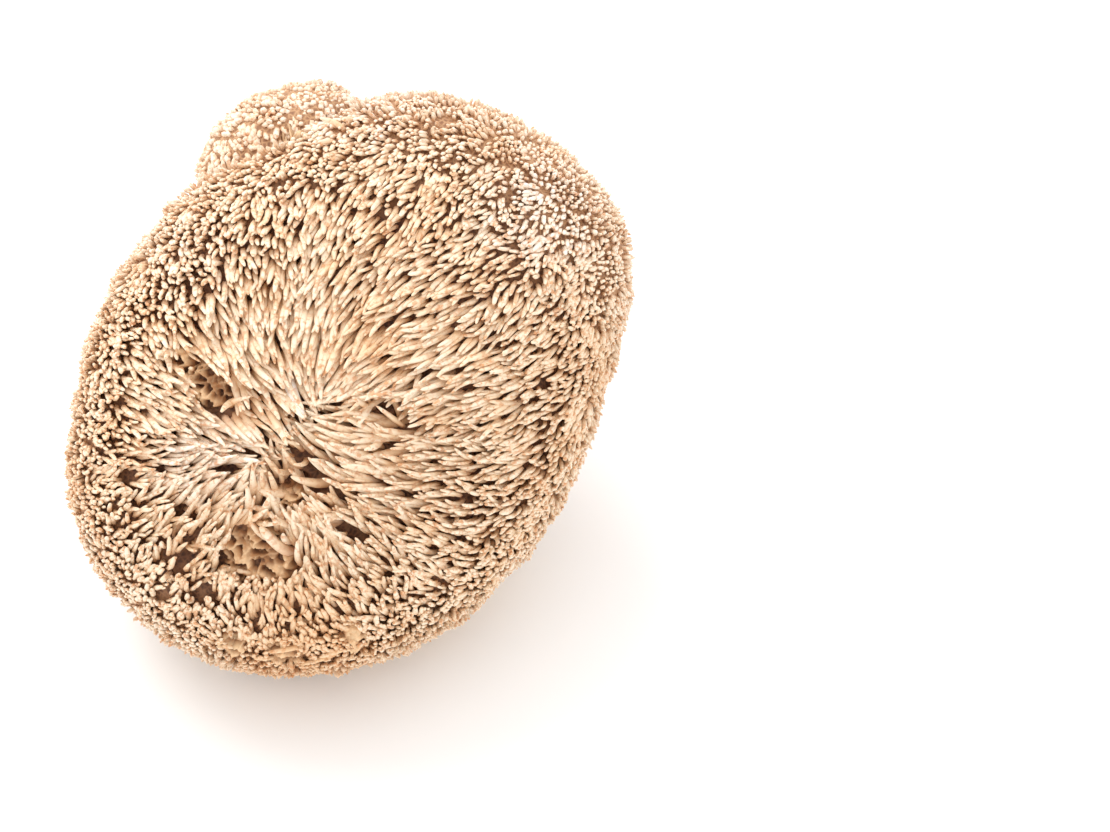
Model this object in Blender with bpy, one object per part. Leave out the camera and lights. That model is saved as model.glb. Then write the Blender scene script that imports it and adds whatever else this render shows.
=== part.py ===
"""A dried lion's mane mushroom: one fruiting body, cut flat where it left the log and resting on that cut."""

import math

import bmesh
import bpy
import numpy as np
from mathutils.bvhtree import BVHTree

MM = 0.001

# The pose on the cut: the toothed face looks forwards and up
FACE_ELEVATION = math.radians(50)
BODY_CENTRE = np.array([0.0, 3.0, 38.5]) * MM

# The main lump, an oval seen from the face, with its long axis turned from the right towards the top
LONG_RADIUS = 52.3 * MM
SHORT_RADIUS = 40.5 * MM
LONG_AXIS_TURN = math.radians(50)
FRONT_DEPTH = 33.0 * MM
BACK_DEPTH = 31.0 * MM
FULLNESS = 2.3

# Swellings and flats of the main lump: face angle and forward tilt in degrees, rise in mm, spread in degrees
LUMPS = (
    (28, 0, 2.7, 11),
    (358, 0, -1.5, 11),
    (292, 0, 1.1, 20),
    (232, 5, -1.4, 16),
    (184, 0, -1.7, 11),
    (136, 0, -1.8, 8),
    (97, 0, -1.2, 8),
    (150, 45, 1.2, 16),
    (20, 60, 1.5, 20),
)

# The smaller lobe that grew behind the upper left of the main lump, in the face's right, rise and out
LOBE_CENTRE = np.array([-6.3, 32.7, -3.0]) * MM
LOBE_RADII = np.array([18.7, 17.6, 18.2]) * MM
CREASE_DEPTH = 4.0 * MM
CREASE_WIDTH = 2.0 * MM
LOBE_BLEND = 1.5 * MM

# The short foot under the body, whose flat end is the cut
FOOT_CENTRE = np.array([0.0, 0.0, 8.0]) * MM
FOOT_RADII = np.array([22.0, 21.0, 30.0]) * MM
FOOT_BLEND = 7.0 * MM
BARE_FOOT_HEIGHT = 7.0 * MM

# The seam on the face that every spine points to, in the face's right and rise
SEAM_LOW = (-12.5, -13.5)
SEAM_HIGH = (-4.0, -2.5)
SEAM_OUT = 31.5

# Hollows where spines broke away: right, rise and radius in mm, and how deep the hollow is
HOLLOWS = (
    (10.5, -4.0, 4.5, 3.0),
    (-6.6, -22.5, 6.0, 3.2),
    (-17.5, 0.5, 5.5, 2.6),
    (15.5, 41.0, 4.5, 2.5),
)

# Spines
FACE_SPINE = 8.6 * MM
BACK_SPINE = 3.6 * MM
SPINE_LEAN = math.radians(52)
UPRIGHT_NEAR_SEAM = 11.0 * MM
SPINE_VARIATION = 0.16
SHORTEST_SPINE = 1.0 * MM
FLOOR_CLEARANCE = 1.2 * MM
SURFACE_POINTS = 1600
TRIM_STEP = 0.72
TRIM_ROUNDS = 14
SNAP_TO_CUT = 0.9 * MM
SEED = 7

# Colours and finish
SHARP_ANGLE = math.radians(35)
FLESH_COLOUR = (0.80, 0.64, 0.43, 1.0)
FLESH_ROUGHNESS = 0.85


def face_axes():
    """Rows are the face's right, its rise and the way out of it, in the part's frame."""
    sine, cosine = math.sin(FACE_ELEVATION), math.cos(FACE_ELEVATION)
    return np.array([[1, 0, 0], [0, sine, cosine], [0, -cosine, sine]], float)


AXES = face_axes()


def smooth_step(low, high, value):
    share = np.clip((value - low) / (high - low), 0, 1)
    return share * share * (3 - 2 * share)


def unit(vectors):
    return vectors / np.maximum(np.linalg.norm(vectors, axis=-1, keepdims=True), 1e-12)


def far_side(directions, centre, radii):
    """How far a ray from the body's centre runs before it leaves an ellipsoid, or 0 where it misses."""
    ray, start = directions / radii, centre / radii
    along = (ray * ray).sum(1)
    half = ray @ start
    inside = half * half - along * (start @ start - 1)
    return np.where(inside > 0, (half + np.sqrt(np.maximum(inside, 0))) / along, 0.0)


def smooth_max(first, second, blend):
    overlap = np.maximum(blend - np.abs(first - second), 0)
    return np.maximum(first, second) + overlap * overlap / (4 * blend)


def main_lump(face_directions):
    """Reach of the oval lump with its swellings, along directions given in the face's axes."""
    turn = LONG_AXIS_TURN
    right, rise, out = face_directions.T
    along = (right * math.cos(turn) + rise * math.sin(turn)) / LONG_RADIUS
    across = (rise * math.cos(turn) - right * math.sin(turn)) / SHORT_RADIUS
    depth = np.abs(out) / np.where(out > 0, FRONT_DEPTH, BACK_DEPTH)
    oval = (along**2 + across**2) ** (FULLNESS / 2)
    reach = (oval + depth**FULLNESS) ** (-1 / FULLNESS)
    for angle, tilt, height, spread in LUMPS:
        angle, tilt, spread = map(math.radians, (angle, tilt, spread))
        level = math.cos(tilt)
        peak = np.array([level * math.cos(angle), level * math.sin(angle), math.sin(tilt)])
        away = np.arccos(np.clip(face_directions @ peak, -1, 1))
        reach = reach + height * MM * np.exp(-0.5 * (away / spread) ** 2)
    return reach


def outer_reach(directions):
    """Distance from the body's centre to the spine tips along directions in the part's frame."""
    facing = directions @ AXES.T
    body = main_lump(facing)
    lobe = far_side(facing, LOBE_CENTRE, LOBE_RADII)
    crease = CREASE_DEPTH * np.exp(-(((body - lobe) / CREASE_WIDTH) ** 2)) * (lobe > 0)
    lumps = smooth_max(body, lobe, LOBE_BLEND) - crease
    foot = far_side(directions, FOOT_CENTRE - BODY_CENTRE, FOOT_RADII)
    return smooth_max(lumps, foot, FOOT_BLEND)


def seam_ends():
    """The two ends of the seam in the part's frame."""
    ends = np.array([[*SEAM_LOW, SEAM_OUT], [*SEAM_HIGH, SEAM_OUT]]) * MM
    return ends @ AXES + BODY_CENTRE


def to_seam(points):
    """The vector from each point to the nearest point of the seam."""
    low, high = seam_ends()
    line = high - low
    share = np.clip((points - low) @ line / (line @ line), 0, 1)
    return low + share[:, None] * line - points


def hollow_depth(points):
    """How much deeper the flesh lies where spines broke away, in metres."""
    facing = (points - BODY_CENTRE) @ AXES.T
    depth = np.zeros(len(points))
    for right, rise, radius, sunk in HOLLOWS:
        away = np.hypot(facing[:, 0] - right * MM, facing[:, 1] - rise * MM) / (radius * MM)
        depth += sunk * MM * (1 - smooth_step(0.45, 1.1, away)) * (facing[:, 2] > 0)
    return depth


def spine_length(directions, points):
    """Full-grown length at each place: long on the face, short behind, none on the bare foot."""
    out = directions @ AXES[2]
    length = BACK_SPINE + (FACE_SPINE - BACK_SPINE) * smooth_step(-0.55, 0.35, out)
    from_foot = np.hypot(points[:, 0], points[:, 1]) - FOOT_RADII[0]
    clear = np.maximum(from_foot, (points[:, 2] - BARE_FOOT_HEIGHT) * 1.2)
    return length * smooth_step(0, 9 * MM, clear)


def flesh_points(directions):
    """Points of the flesh that the spines stand on."""
    tips = BODY_CENTRE + directions * outer_reach(directions)[:, None]
    coat = spine_length(directions, tips) * math.cos(SPINE_LEAN) + hollow_depth(tips)
    return tips - directions * coat[:, None]


def even_directions(count):
    """Directions spread evenly over a sphere along a golden spiral."""
    index = np.arange(count) + 0.5
    height = 1 - 2 * index / count
    turn = index * math.pi * (3 - math.sqrt(5))
    level = np.sqrt(1 - height * height)
    return np.stack([level * np.cos(turn), level * np.sin(turn), height], axis=1)


def flesh_surface():
    """A closed mesh of even triangles over the flesh, cut flat at the floor."""
    mesh = bmesh.new()
    directions = even_directions(SURFACE_POINTS)
    for direction in directions:
        mesh.verts.new(direction)
    bmesh.ops.convex_hull(mesh, input=mesh.verts)
    mesh.verts.ensure_lookup_table()
    for vertex, place in zip(mesh.verts, flesh_points(directions)):
        vertex.co = place
        if abs(vertex.co.z) < SNAP_TO_CUT:
            vertex.co.z = 0
    everything = mesh.verts[:] + mesh.edges[:] + mesh.faces[:]
    bmesh.ops.bisect_plane(
        mesh, geom=everything, dist=1e-6, plane_co=(0, 0, 0), plane_no=(0, 0, -1), clear_outer=True
    )
    rim = [edge for edge in mesh.edges if edge.is_boundary]
    bmesh.ops.edgeloop_fill(mesh, edges=rim)
    bmesh.ops.recalc_face_normals(mesh, faces=mesh.faces)
    return mesh


def grow_spines(mesh):
    """Raises a spine on each triangle of the flesh, leaning towards the seam. Returns each tip with its root."""
    mesh.normal_update()
    on_body = [face for face in mesh.faces if len(face.verts) == 3]
    centres = np.array([face.calc_center_median() for face in on_body])
    normals = np.array([face.normal for face in on_body])
    outward = unit(centres - BODY_CENTRE)
    full = spine_length(outward, centres)
    broken = hollow_depth(centres) / (3 * MM)
    chance = np.random.default_rng(SEED)
    vary = 1 + SPINE_VARIATION * chance.uniform(-1, 1, len(on_body))
    length = full * vary * (1 - 0.55 * np.clip(broken, 0, 1))
    target = to_seam(centres)
    flow = unit(target - normals * (target * normals).sum(1)[:, None])
    lean = SPINE_LEAN * smooth_step(0, UPRIGHT_NEAR_SEAM, np.linalg.norm(target, axis=1))
    step = normals * np.cos(lean)[:, None] + flow * np.sin(lean)[:, None]
    tips = centres + step * length[:, None]
    standing = (length > SHORTEST_SPINE) & (tips[:, 2] > FLOOR_CLEARANCE)
    chosen = [face for face, stands in zip(on_body, standing) if stands]
    poked = bmesh.ops.poke(mesh, faces=chosen, center_mode="MEAN")
    grown = {}
    for vertex, root, tip in zip(poked["verts"], centres[standing], tips[standing]):
        vertex.co = tip
        grown[vertex] = root
    return grown


def trim_crossed_spines(mesh, grown):
    """Shortens any spine that runs into another one, until none do."""
    for _ in range(TRIM_ROUNDS):
        mesh.faces.ensure_lookup_table()
        tree = BVHTree.FromBMesh(mesh)
        crossed = set()
        for first, second in tree.overlap(tree):
            one, other = mesh.faces[first].verts, mesh.faces[second].verts
            if not set(one) & set(other):
                crossed.update(vertex for vertex in (*one, *other) if vertex in grown)
        if not crossed:
            break
        for vertex in crossed:
            root = grown[vertex]
            vertex.co = root + (np.array(vertex.co) - root) * TRIM_STEP


def dried_flesh():
    """The pale, dry and matt finish of the whole mushroom."""
    material = bpy.data.materials.new("dried_flesh")
    material.use_nodes = True
    shader = material.node_tree.nodes["Principled BSDF"]
    shader.inputs["Base Color"].default_value = FLESH_COLOUR
    shader.inputs["Roughness"].default_value = FLESH_ROUGHNESS
    shader.inputs["Metallic"].default_value = 0.0
    return material


def fruiting_body():
    """The whole mushroom as one solid: flesh, lobe, foot and spines in one piece."""
    mesh = flesh_surface()
    grown = grow_spines(mesh)
    trim_crossed_spines(mesh, grown)
    data = bpy.data.meshes.new("fruiting_body")
    mesh.to_mesh(data)
    mesh.free()
    data.shade_smooth()
    data.set_sharp_from_angle(angle=SHARP_ANGLE)
    data.materials.append(dried_flesh())
    piece = bpy.data.objects.new("fruiting_body", data)
    bpy.context.scene.collection.objects.link(piece)
    return piece


def main():
    for old in list(bpy.data.objects):
        bpy.data.objects.remove(old)
    fruiting_body()


main()
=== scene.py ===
import math

import bmesh
import bpy
import numpy as np
from mathutils import Matrix, Vector, noise


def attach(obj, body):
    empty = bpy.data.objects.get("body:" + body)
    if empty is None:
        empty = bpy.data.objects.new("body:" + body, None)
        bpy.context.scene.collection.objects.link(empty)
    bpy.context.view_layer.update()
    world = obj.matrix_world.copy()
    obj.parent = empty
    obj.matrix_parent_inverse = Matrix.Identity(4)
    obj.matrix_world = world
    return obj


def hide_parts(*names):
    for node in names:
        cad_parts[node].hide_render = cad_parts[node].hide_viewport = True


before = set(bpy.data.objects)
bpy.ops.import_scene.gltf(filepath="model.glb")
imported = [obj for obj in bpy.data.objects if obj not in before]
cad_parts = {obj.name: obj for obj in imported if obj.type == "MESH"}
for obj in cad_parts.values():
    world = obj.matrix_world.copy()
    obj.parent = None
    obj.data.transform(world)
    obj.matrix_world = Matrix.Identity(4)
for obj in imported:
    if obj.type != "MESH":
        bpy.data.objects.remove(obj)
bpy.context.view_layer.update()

MM = 0.001
BODY = "root"
SOLID = "fruiting_body"

# The form of the mushroom, as in the solid

FACE_ELEVATION = math.radians(50)
BODY_CENTRE = np.array([0.0, 3.0, 38.5]) * MM
LONG_RADIUS = 52.3 * MM
SHORT_RADIUS = 40.5 * MM
LONG_AXIS_TURN = math.radians(50)
FRONT_DEPTH = 33.0 * MM
BACK_DEPTH = 31.0 * MM
FULLNESS = 2.3
# Swellings and dents: angle round the face and tilt out of it in degrees, height in mm, spread in degrees
LUMPS = (
    (28, 0, 2.7, 11),
    (358, 0, -1.5, 11),
    (292, 0, 1.1, 20),
    (232, 5, -1.4, 16),
    (184, 0, -1.7, 11),
    (136, 0, -1.8, 8),
    (97, 0, -1.2, 8),
    (150, 45, 1.2, 16),
    (20, 60, 1.5, 20),
)
LOBE_CENTRE = np.array([-6.3, 32.7, -3.0]) * MM
LOBE_RADII = np.array([18.7, 17.6, 18.2]) * MM
CREASE_DEPTH = 4.0 * MM
CREASE_WIDTH = 2.0 * MM
LOBE_BLEND = 1.5 * MM
FOOT_CENTRE = np.array([0.0, 0.0, 8.0]) * MM
FOOT_RADII = np.array([22.0, 21.0, 30.0]) * MM
FOOT_BLEND = 7.0 * MM
BARE_FOOT_HEIGHT = 7.0 * MM
SEAM_LOW = (-13.0, -15.0)
SEAM_HIGH = (0.0, -1.5)
SEAM_OUT = 31.5
SEAM_STOPS = 11


def face_axes():
    """Rows are the face's right, its rise and the way out of it."""
    sine, cosine = math.sin(FACE_ELEVATION), math.cos(FACE_ELEVATION)
    return np.array([[1, 0, 0], [0, sine, cosine], [0, -cosine, sine]], float)


AXES = face_axes()


def smooth_step(low, high, value):
    """0 up to the low value and 1 from the high one, with a soft rise between."""
    share = np.clip((value - low) / (high - low), 0, 1)
    return share * share * (3 - 2 * share)


def unit(vectors):
    """The same ways, each of length 1."""
    return vectors / np.maximum(np.linalg.norm(vectors, axis=-1, keepdims=True), 1e-12)


def far_side(directions, centre, radii):
    """How far a ray from the body's centre runs before it leaves an ellipsoid, or 0 where it misses."""
    ray, start = directions / radii, centre / radii
    along = (ray * ray).sum(1)
    half = ray @ start
    inside = half * half - along * (start @ start - 1)
    return np.where(inside > 0, (half + np.sqrt(np.maximum(inside, 0))) / along, 0.0)


def smooth_max(first, second, blend):
    """The larger of two values, rounded over where they are close."""
    overlap = np.maximum(blend - np.abs(first - second), 0)
    return np.maximum(first, second) + overlap * overlap / (4 * blend)


def main_lump(face_directions):
    """Reach of the oval lump with its swellings, along directions given in the face's axes."""
    turn = LONG_AXIS_TURN
    right, rise, out = face_directions.T
    along = (right * math.cos(turn) + rise * math.sin(turn)) / LONG_RADIUS
    across = (rise * math.cos(turn) - right * math.sin(turn)) / SHORT_RADIUS
    depth = np.abs(out) / np.where(out > 0, FRONT_DEPTH, BACK_DEPTH)
    oval = (along**2 + across**2) ** (FULLNESS / 2)
    reach = (oval + depth**FULLNESS) ** (-1 / FULLNESS)
    for angle, tilt, height, spread in LUMPS:
        angle, tilt, spread = map(math.radians, (angle, tilt, spread))
        level = math.cos(tilt)
        peak = np.array([level * math.cos(angle), level * math.sin(angle), math.sin(tilt)])
        away = np.arccos(np.clip(face_directions @ peak, -1, 1))
        reach = reach + height * MM * np.exp(-0.5 * (away / spread) ** 2)
    return reach


def outer_reach(directions):
    """Distance from the body's centre to the spine tips along directions in the part's frame."""
    facing = directions @ AXES.T
    body = main_lump(facing)
    lobe = far_side(facing, LOBE_CENTRE, LOBE_RADII)
    crease = CREASE_DEPTH * np.exp(-(((body - lobe) / CREASE_WIDTH) ** 2)) * (lobe > 0)
    lumps = smooth_max(body, lobe, LOBE_BLEND) - crease
    foot = far_side(directions, FOOT_CENTRE - BODY_CENTRE, FOOT_RADII)
    return smooth_max(lumps, foot, FOOT_BLEND)


def seam_ends():
    """The low and the high end of the seam on the face."""
    ends = np.array([[*SEAM_LOW, SEAM_OUT], [*SEAM_HIGH, SEAM_OUT]]) * MM
    return ends @ AXES + BODY_CENTRE


def to_seam(points):
    """The vector from each point to the seam, where its nearest stretch counts most."""
    low, high = seam_ends()
    total, weights = np.zeros_like(points), np.zeros(len(points))
    for share in np.linspace(0, 1, SEAM_STOPS):
        step = low + (high - low) * share - points
        weight = 1 / np.maximum(np.linalg.norm(step, axis=1), MM) ** 3
        total += step * weight[:, None]
        weights += weight
    return total / weights[:, None]


# Short ways to add objects and nodes


def put_in_scene(name, data):
    """Makes an object of a mesh, light or camera and adds it to the scene."""
    added = bpy.data.objects.new(name, data)
    bpy.context.scene.collection.objects.link(added)
    return added


def store(mesh, fields):
    """Keeps numbers or vectors on the points of a mesh, by name."""
    for name, values in fields.items():
        kind, part = ("FLOAT", "value") if values.ndim == 1 else ("FLOAT_VECTOR", "vector")
        held = mesh.attributes.new(name, kind, "POINT")
        held.data.foreach_set(part, values.astype(np.float32).ravel())


def add_sockets(tree, side, **kinds):
    """Gives a node group its named inputs or outputs."""
    for name, kind in kinds.items():
        tree.interface.new_socket(name=name, in_out=side, socket_type="NodeSocket" + kind)


def node(tree, kind, inputs=None, **settings):
    """Adds a node with its settings. Inputs are values or sockets, by name or by number."""
    added = tree.nodes.new(kind)
    for name, value in settings.items():
        setattr(added, name, value)
    for name, value in (inputs or {}).items():
        socket = added.inputs[name]
        if isinstance(value, bpy.types.NodeSocket):
            tree.links.new(value, socket)
        else:
            socket.default_value = value
    return added


def calc(tree, operation, *values):
    """A number worked out from numbers."""
    return node(tree, "ShaderNodeMath", dict(enumerate(values)), operation=operation).outputs[0]


def vector(tree, operation, *values):
    """A vector worked out from vectors, or the length of one."""
    made = node(tree, "ShaderNodeVectorMath", dict(enumerate(values)), operation=operation)
    return made.outputs["Value" if operation == "LENGTH" else "Vector"]


def scaled(tree, direction, factor):
    """A vector times a number."""
    made = node(tree, "ShaderNodeVectorMath", {0: direction, "Scale": factor}, operation="SCALE")
    return made.outputs["Vector"]


def field(tree, name, kind="FLOAT"):
    """A value that the surface carries by name."""
    made = node(tree, "GeometryNodeInputNamedAttribute", {"Name": name}, data_type=kind)
    return made.outputs["Attribute"]


def keep(tree, geometry, name, value, kind="FLOAT"):
    """Stores a value on the geometry's points by name."""
    inputs = {"Geometry": geometry, "Name": name, "Value": value}
    made = node(tree, "GeometryNodeStoreNamedAttribute", inputs, data_type=kind, domain="POINT")
    return made.outputs["Geometry"]


def curve_map(tree, value, points):
    """Passes a value through a smooth curve drawn by its points."""
    made = node(tree, "ShaderNodeFloatCurve", {"Value": value})
    drawn = made.mapping.curves[0]
    drawn.points[0].location, drawn.points[-1].location = points[0], points[-1]
    for place in points[1:-1]:
        drawn.points.new(*place)
    made.mapping.update()
    return made.outputs[0]


# The flesh

FLESH_SUBDIVISIONS = 7
# By degrees from the seam: height and reach of the spines in mm, bluntness from 0 to 1, and radius in mm
COAT = ((0, 4.4), (35, 4.0), (50, 2.7), (62, 1.6), (75, 1.0), (88, 0.85), (110, 1.2), (135, 1.3), (180, 0.8))
LAY = ((0, 6.4), (35, 6.0), (52, 4.8), (65, 3.6), (78, 2.6), (90, 1.4), (110, 2.0), (135, 2.0), (180, 1.4))
BLUNT = ((0, 0.0), (35, 0.15), (60, 0.55), (80, 0.9), (180, 1.0))
GIRTH = ((0, 0.6), (22, 0.55), (40, 0.45), (58, 0.39), (75, 0.37), (90, 0.31), (120, 0.29), (180, 0.28))
# Soft edges in degrees from the seam where each kind of spine starts and ends
WHORL_END = (27, 35)
FACE_START, FACE_END = (23, 31), (62, 69)
RIM_START, RIM_END = (55, 62), (100, 108)
BACK_START = (98, 106)
HAIR_FADE = 9 * MM
FRONT_FROM = -8
FINE_NEAR_SEAM = 0.7
SWIRL = 0.24
SWIRL_SIZE = 14 * MM
LOWER_ON_LOBE = 0.45
THICKER_ON_LOBE = 0.35
LOOSER_ON_LOBE = 0.25
SHORTER_ABOVE = 0.3
FACE_COUNTS = 0.7
COARSE_WAY = np.array([0.9, -0.43, 0.0])
COARSE_TURN = 13
# Fineness of the dried skin's folds around the foot, and up it by the mm
FOLDS = (5, 0.08)
CRINKLES = (14, 0.22)
WRINKLE_DEPTH = 1.1 * MM
MOST_WRINKLE = 0.4 * MM
CUT_RINGS = 14
CUT_MIDDLE = 0.4
LEVEL_SLACK = 1e-5
MERGE_DISTANCE = 0.05 * MM
TOWARDS_FACE = 25 * MM
TOWARDS_FACE_LEFT = 9 * MM
FIRST_GUESS_OUT = 25 * MM
FLESH_ROUNDS = 6

# Gaps without spines: right, rise, half length and half width in mm, turn in degrees, and depth in mm
GAPS = (
    (9.1, -3.3, 2.2, 1.3, -5, 2.0),
    (13.4, -5.8, 2.1, 1.3, -20, 1.6),
    (10.6, -9.9, 1.5, 0.8, 0, 1.0),
    (-1.3, -15.5, 3.8, 0.8, -28, 1.2),
    (-2.6, -12.4, 1.6, 0.5, -5, 0.8),
    (3.5, -22.8, 2.0, 0.9, -20, 1.0),
    (16.2, 2.5, 1.3, 0.8, 40, 0.8),
    (-6.2, -17.0, 2.2, 1.4, 0, 1.6),
    (-11.2, -26.6, 5.4, 3.1, -8, 1.6),
    (-18.4, -0.4, 2.2, 3.4, 10, 1.4),
    (-22.6, 3.6, 1.8, 1.0, 0, 0.8),
    (-23.8, -28.4, 2.2, 1.0, 35, 1.0),
    (-26.6, -24.4, 1.4, 0.8, 60, 0.8),
    (-21.0, -33.2, 1.8, 0.8, -30, 0.8),
    (-27.6, -33.0, 1.2, 0.8, 20, 0.8),
    (-12.7, 44.4, 1.2, 0.7, 10, 0.6),
    (-15.7, 40.0, 0.6, 0.9, 0, 0.6),
    (-14.5, 36.4, 1.2, 0.5, 20, 0.6),
    (-20.1, 37.2, 0.6, 0.5, 0, 0.6),
    (-8.1, 39.4, 1.0, 0.7, 0, 0.8),
    (-6.3, 42.6, 0.7, 1.0, 0, 0.8),
    (-8.1, 31.0, 1.1, 0.6, 0, 0.8),
    (1.0, 30.4, 0.6, 1.2, 0, 0.6),
    (8.4, 26.9, 0.4, 0.9, 30, 0.8),
    (16.7, 41.3, 1.3, 1.1, 0, 0.8),
    (-8.5, -42.8, 2.2, 0.6, 5, 0.8),
    (3.0, -40.0, 1.8, 0.5, 10, 0.6),
    (-16.5, -41.5, 1.8, 0.5, -15, 0.6),
)
GAP_NOISE_SIZE = 1.65 * MM
GAP_SHARE = 0.7
GAP_EDGE = 0.3 * MM
REACH_STEPS = (0.9, 0.75, 0.6, 0.45, 0.3, 0.15, 0.0)
LEAST_REACH = 0.3
STANDS_ABOVE = 0.28
# Places with more small gaps than elsewhere: right, rise and radius in mm, and how many more
OPEN_PATCHES = (
    (-24.0, -28.5, 8.0, 0.2),
    (-35.0, -14.0, 12.0, 0.14),
    (-12.0, 41.0, 10.0, 0.08),
    (30.0, 12.0, 10.0, 0.1),
    (-20.0, 10.0, 9.0, 0.12),
    (27.0, -22.0, 9.0, 0.12),
    (2.0, 26.0, 12.0, 0.1),
    (34.0, -4.0, 8.0, 0.12),
    (9.0, -9.0, 13.0, 0.15),
    (18.0, -20.0, 11.0, 0.12),
    (-13.0, -34.0, 8.0, 0.12),
)

# Thin walls of broken spines: right, rise and radius in mm, sideways stretch and size of the cells
COMBS = (
    (-11.2, -26.6, 6.6, 1.3, 1.75),
    (-18.4, 0.4, 4.6, 0.9, 1.6),
    (-23.6, 3.4, 3.0, 1.2, 1.7),
    (-6.0, -17.6, 3.2, 1.6, 1.6),
    (-8.5, -43.0, 3.6, 1.8, 1.5),
    (3.0, -40.6, 3.0, 1.8, 1.4),
    (-16.8, -41.8, 2.8, 1.8, 1.4),
    (-7.4, 40.6, 2.6, 0.8, 1.7),
)
WALL_SEED = 4
WALL_RISE = 2.7 * MM
WALL_HALF = 0.2 * MM
WALL_FOOT = 3.2 * WALL_HALF
WALL_WARP = 0.5
WARP_FINENESS = 0.4
COMB_STEP = 0.19 * MM
COMB_ROOT = 1.5 * MM
COMB_SUNK = 0.25 * MM
COMB_LEAN = 0.35

# Places paler or more golden than the rest, the golden ones partly painted shade, most at the bottom: right,
# rise and radius in mm, and how strong
FROSTED = (
    (-22.5, -11.0, 10.0, 0.9),
    (32.0, 27.0, 11.0, 0.8),
    (-24.0, 22.0, 9.0, 0.4),
    (4.0, 46.0, 12.0, 0.4),
)
GOLDEN_AND_SHADED = (
    (-6.0, -46.0, 15.0, 1.0),
    (-46.0, -16.0, 9.0, 0.6),
    (40.0, 4.0, 9.0, 0.4),
    (7.0, 8.0, 7.0, 0.6),
)


def along_angle(table, angles):
    """Reads a table of angle from the seam against millimetres."""
    degrees, sizes = zip(*table)
    return np.interp(angles, degrees, sizes) * MM


def seam_angle(directions):
    """Degrees from the seam's middle, further out from the face's middle, fewer where spines are coarse."""
    middle = unit(seam_ends().mean(0) - BODY_CENTRE)
    from_seam = np.degrees(np.arccos(np.clip(directions @ middle, -1, 1)))
    from_face = np.degrees(np.arccos(np.clip(directions @ AXES[2], -1, 1)))
    coarse = smooth_step(0.3, 0.9, directions @ (COARSE_WAY @ AXES))
    angle = from_seam + FACE_COUNTS * smooth_step(25, 60, from_seam) * (from_face - from_seam)
    return angle - COARSE_TURN * coarse * smooth_step(35, 60, angle)


def hairiness(points):
    """1 where spines stand full, fading to 0 at the bare foot."""
    from_foot = np.hypot(points[:, 0], points[:, 1]) - FOOT_RADII[0]
    clear = np.maximum(from_foot, (points[:, 2] - BARE_FOOT_HEIGHT) * 1.2)
    return smooth_step(0, HAIR_FADE, clear)


def spots(points, places):
    """Strength at each point of soft round spots on the face, from (right, rise, radius, strength)."""
    facing = (points - BODY_CENTRE) @ AXES.T
    total = np.zeros(len(points))
    for right, rise, radius, strength in places:
        away = np.hypot(facing[:, 0] - right * MM, facing[:, 1] - rise * MM) / (radius * MM)
        total += strength * (1 - smooth_step(0.35, 1.15, away)) * (facing[:, 2] > FRONT_FROM * MM)
    return total


def gap_depth(points):
    """How deep the flesh is sunk at each point by the gaps on the face."""
    facing = (points - BODY_CENTRE) @ AXES.T / MM
    deepest = np.zeros(len(points))
    for right, rise, half_length, half_width, turn, depth in GAPS:
        cosine, sine = math.cos(math.radians(turn)), math.sin(math.radians(turn))
        along = (facing[:, 0] - right) * cosine + (facing[:, 1] - rise) * sine
        across = (facing[:, 1] - rise) * cosine - (facing[:, 0] - right) * sine
        away = np.hypot(along / half_length, across / half_width)
        sunk = depth * (1 - smooth_step(0.7, 1.3, away)) * (facing[:, 2] > FRONT_FROM)
        deepest = np.maximum(deepest, sunk)
    return deepest * MM


def on_lobe(points):
    """1 on the side lobe, fading to 0 on the body."""
    facing = unit(points - BODY_CENTRE) @ AXES.T
    return smooth_step(-1.0 * MM, 2.0 * MM, far_side(facing, LOBE_CENTRE, LOBE_RADII) - main_lump(facing))


def crease_share(points):
    """1 at the bottom of the crease between the lobe and the body, fading to 0 beside it."""
    facing = unit(points - BODY_CENTRE) @ AXES.T
    lobe = far_side(facing, LOBE_CENTRE, LOBE_RADII)
    return np.exp(-(((main_lump(facing) - lobe) / CREASE_WIDTH) ** 2)) * (lobe > 0)


def speckle(points, size, seed):
    """Smooth noise from -1 to 1 at each point."""
    shift = Vector((seed * 7.1, seed * 3.3, seed * 5.7))
    return np.array([noise.noise(Vector(point) / size + shift) for point in points])


def clear_gaps(points, comb, lay):
    """Shortens the spines that would lie over a gap, and says which ones stand at all."""
    noisy = GAP_SHARE - spots(points, OPEN_PATCHES)
    reach = np.ones(len(points))
    for share in REACH_STEPS:
        passed = points + comb * (lay * share)[:, None]
        inside = (gap_depth(passed) > GAP_EDGE) | (speckle(passed, GAP_NOISE_SIZE, 2) > noisy)
        reach = np.where(inside, share, reach)
    return lay * np.maximum(reach, LEAST_REACH), (reach > STANDS_ABOVE).astype(float)


def flesh_places(directions):
    """Points of the flesh under the spines, along directions from the body's centre."""
    tips = BODY_CENTRE + directions * outer_reach(directions)[:, None]
    coat = along_angle(COAT, seam_angle(directions)) * hairiness(tips) + gap_depth(tips)
    return tips - directions * coat[:, None]


def flesh_base():
    """A fine ball drawn onto the flesh under the spines and cut off flat at the foot."""
    mesh = bmesh.new()
    bmesh.ops.create_icosphere(mesh, subdivisions=FLESH_SUBDIVISIONS, radius=1.0)
    directions = unit(np.array([vertex.co for vertex in mesh.verts]))
    for vertex, place in zip(mesh.verts, flesh_places(directions)):
        vertex.co = place
    bmesh.ops.bisect_plane(
        mesh, geom=mesh.verts[:] + mesh.edges[:] + mesh.faces[:], dist=1e-6,
        plane_co=(0, 0, 0), plane_no=(0, 0, -1), clear_outer=True,
    )
    bmesh.ops.remove_doubles(mesh, verts=mesh.verts, dist=MERGE_DISTANCE)
    return mesh


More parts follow.
